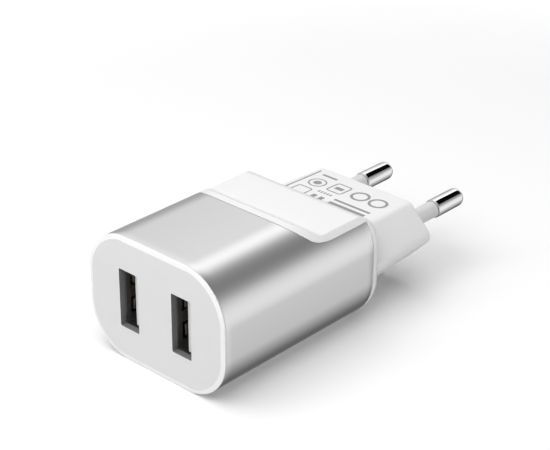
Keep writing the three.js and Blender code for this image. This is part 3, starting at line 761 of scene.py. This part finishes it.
def dress_nodes():
    """Every CAD node that stays gets its slot's finish and slightly eased edges."""
    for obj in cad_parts.values():
        for slot in obj.material_slots:
            slot.material = MATERIALS[slot.material.name.split(".")[0]]
        weld = obj.modifiers.new("weld", "WELD")
        weld.merge_threshold = FINE
        edge = obj.modifiers.new("eased_edges", "BEVEL")
        edge.limit_method = "ANGLE"
        edge.angle_limit = radians(40)
        edge.width = 0.04 * MM
        edge.segments = 2


# Studio

# Brightness of the studio's surround at each angle round the Y axis, from straight up towards +X
SURROUND = (
    (-180, 0.1), (-160, 0.1), (-135, 0.4), (-113, 0.62), (-95, 0.36), (-80, 0.38), (-66, 0.68), (-53, 0.77),
    (-38, 1.0), (-29, 1.25), (-19, 1.3), (-9, 0.95), (2, 0.42), (15, 0.25), (30, 0.21), (44, 0.22),
    (58, 0.34), (68, 0.6), (80, 0.82), (97, 0.92), (117, 0.86), (127, 0.68), (140, 0.5), (157, 0.33),
    (170, 0.2), (180, 0.11),
)
BRIGHTEST = max(value for _, value in SURROUND)
# Light that the surround throws on everything that is not polished
FILL = 0.05
# Distance where the glow starts and ends, in metres, and its strength at each
FLOOR_GLOW = (0.12, 0.45, 0.05, 0.95)
FLOOR_HALF = 3.0
FLOOR_DROP = 0.0001
LIGHT_DISTANCE = 0.9
# The card over a pin: from its left edge to its right one, its height, and its ends, from the pin
FLAG_ACROSS = (-0.3, 5.1)
FLAG_RAISED = 5.5
FLAG_ALONG = (-6, 14)


def surround():
    world = bpy.data.worlds.new("studio")
    bpy.context.scene.world = world
    world.use_nodes = True
    tree = world.node_tree
    nodes, links = tree.nodes, tree.links
    place = nodes.new("ShaderNodeTexCoord")
    split = nodes.new("ShaderNodeSeparateXYZ")
    links.new(place.outputs["Generated"], split.inputs["Vector"])
    turn = nodes.new("ShaderNodeMath")
    turn.operation = "ARCTAN2"
    links.new(split.outputs["X"], turn.inputs[0])
    links.new(split.outputs["Z"], turn.inputs[1])
    spread = nodes.new("ShaderNodeMapRange")
    spread.inputs["From Min"].default_value = -pi
    spread.inputs["From Max"].default_value = pi
    links.new(turn.outputs["Value"], spread.inputs["Value"])
    ramp = nodes.new("ShaderNodeValToRGB")
    for _ in range(len(SURROUND) - 2):
        ramp.color_ramp.elements.new(0.5)
    for element, (angle, value) in zip(ramp.color_ramp.elements, SURROUND):
        element.position = (angle + 180) / 360
        element.color = [value / BRIGHTEST] * 3 + [1]
    links.new(spread.outputs["Result"], ramp.inputs["Fac"])
    rays = nodes.new("ShaderNodeLightPath")
    choose = nodes.new("ShaderNodeMix")
    choose.data_type = "RGBA"
    choose.inputs["A"].default_value = [FILL / BRIGHTEST] * 3 + [1]
    links.new(rays.outputs["Is Glossy Ray"], choose.inputs["Factor"])
    links.new(ramp.outputs["Color"], choose.inputs["B"])
    backdrop = nodes.new("ShaderNodeMix")
    backdrop.data_type = "RGBA"
    backdrop.inputs["B"].default_value = [1 / BRIGHTEST] * 3 + [1]
    links.new(rays.outputs["Is Camera Ray"], backdrop.inputs["Factor"])
    links.new(choose.outputs["Result"], backdrop.inputs["A"])
    nodes["Background"].inputs["Strength"].default_value = BRIGHTEST
    links.new(backdrop.outputs["Result"], nodes["Background"].inputs["Color"])


def brighten_outwards(finish):
    """Lets the floor glow more away from the object, so that it meets the pale background evenly."""
    tree = finish.material.node_tree
    place = tree.nodes.new("ShaderNodeNewGeometry")
    reach = tree.nodes.new("ShaderNodeVectorMath")
    reach.operation = "LENGTH"
    glow = tree.nodes.new("ShaderNodeMapRange")
    glow.interpolation_type = "SMOOTHSTEP"
    for name, value in zip(("From Min", "From Max", "To Min", "To Max"), FLOOR_GLOW):
        glow.inputs[name].default_value = value
    tree.links.new(place.outputs["Position"], reach.inputs[0])
    tree.links.new(reach.outputs["Value"], glow.inputs["Value"])
    tree.links.new(glow.outputs["Result"], finish.shader.inputs["Emission Strength"])


def floor():
    half = FLOOR_HALF
    corners = [(-half, -half), (half, -half), (half, half), (-half, half)]
    mesh = bpy.data.meshes.new("floor")
    mesh.from_pydata([(x, y, -FLOOR_DROP) for x, y in corners], [], [(0, 1, 2, 3)])
    obj = bpy.data.objects.new("floor", mesh)
    bpy.context.scene.collection.objects.link(obj)
    finish = Finish("pale_floor", (0.97, 0.97, 0.97), 0.8)
    finish.shader.inputs["Specular IOR Level"].default_value = 0
    finish.mottle(20, 0.003, 0.03)
    finish.shader.inputs["Emission Color"].default_value = (1, 1, 1, 1)
    brighten_outwards(finish)
    obj.data.materials.append(finish.material)
    obj.visible_glossy = False


def soft_light(name, direction, size, power):
    """A square soft light that stays out of reflections, aimed at the object."""
    lamp = bpy.data.lights.new(name, "AREA")
    lamp.size = size
    lamp.energy = power
    obj = bpy.data.objects.new(name, lamp)
    bpy.context.scene.collection.objects.link(obj)
    obj.location = Vector(direction).normalized() * LIGHT_DISTANCE
    obj.rotation_euler = (-obj.location).to_track_quat("-Z", "Y").to_euler()
    obj.visible_glossy = False


def flag(name, low, high):
    """A small black card above a pin, seen only in its polish."""
    x, z = (low.x + high.x) / 2, (low.z + high.z) / 2 + FLAG_RAISED
    left, right = (x + side for side in FLAG_ACROSS)
    front, rear = (high.y + end for end in FLAG_ALONG)
    points = [(left, front, z), (right, front, z), (right, rear, z), (left, rear, z)]
    obj = mesh_object(name, points, [(0, 1, 2, 3)])
    finish = Finish(name + "_card", (0.004, 0.004, 0.004), 0.9)
    finish.shader.inputs["Specular IOR Level"].default_value = 0
    finish.mottle(60, 0.02, 0.03)
    obj.data.materials.append(finish.material)
    obj.visible_camera = False
    obj.visible_diffuse = False
    obj.visible_shadow = False


def camera():
    a, e, r = CAMERA_AZIMUTH, CAMERA_ELEVATION, CAMERA_ROLL
    back = Vector((sin(a) * cos(e), -cos(a) * cos(e), sin(e)))
    level = Vector((cos(a), sin(a), 0))
    right = cos(r) * level + sin(r) * back.cross(level)
    up = back.cross(right)
    data = bpy.data.cameras.new("camera")
    data.lens = CAMERA_LENS
    data.clip_start = 0.01
    obj = bpy.data.objects.new("camera", data)
    bpy.context.scene.collection.objects.link(obj)
    place = CAMERA_TARGET + back * CAMERA_DISTANCE
    rows = [(right[i], up[i], back[i], place[i]) for i in range(3)]
    obj.matrix_world = Matrix(rows + [(0, 0, 0, 1)])
    bpy.context.scene.camera = obj


PINS = [node_box(f"{side}_plug_pin") for side in ("left", "right")]
PORTS = [node_box(f"{side}_port_shell") for side in ("left", "right")]
MATERIALS = make_finishes()

camera()
surround()
floor()
flag("left_flag", *PINS[0])
flag("right_flag", *PINS[1])
soft_light("key", (-0.08, -0.38, 0.91), 1.4, 14.8)
bpy.context.scene.view_settings.view_transform = "Standard"
dress_nodes()
build()
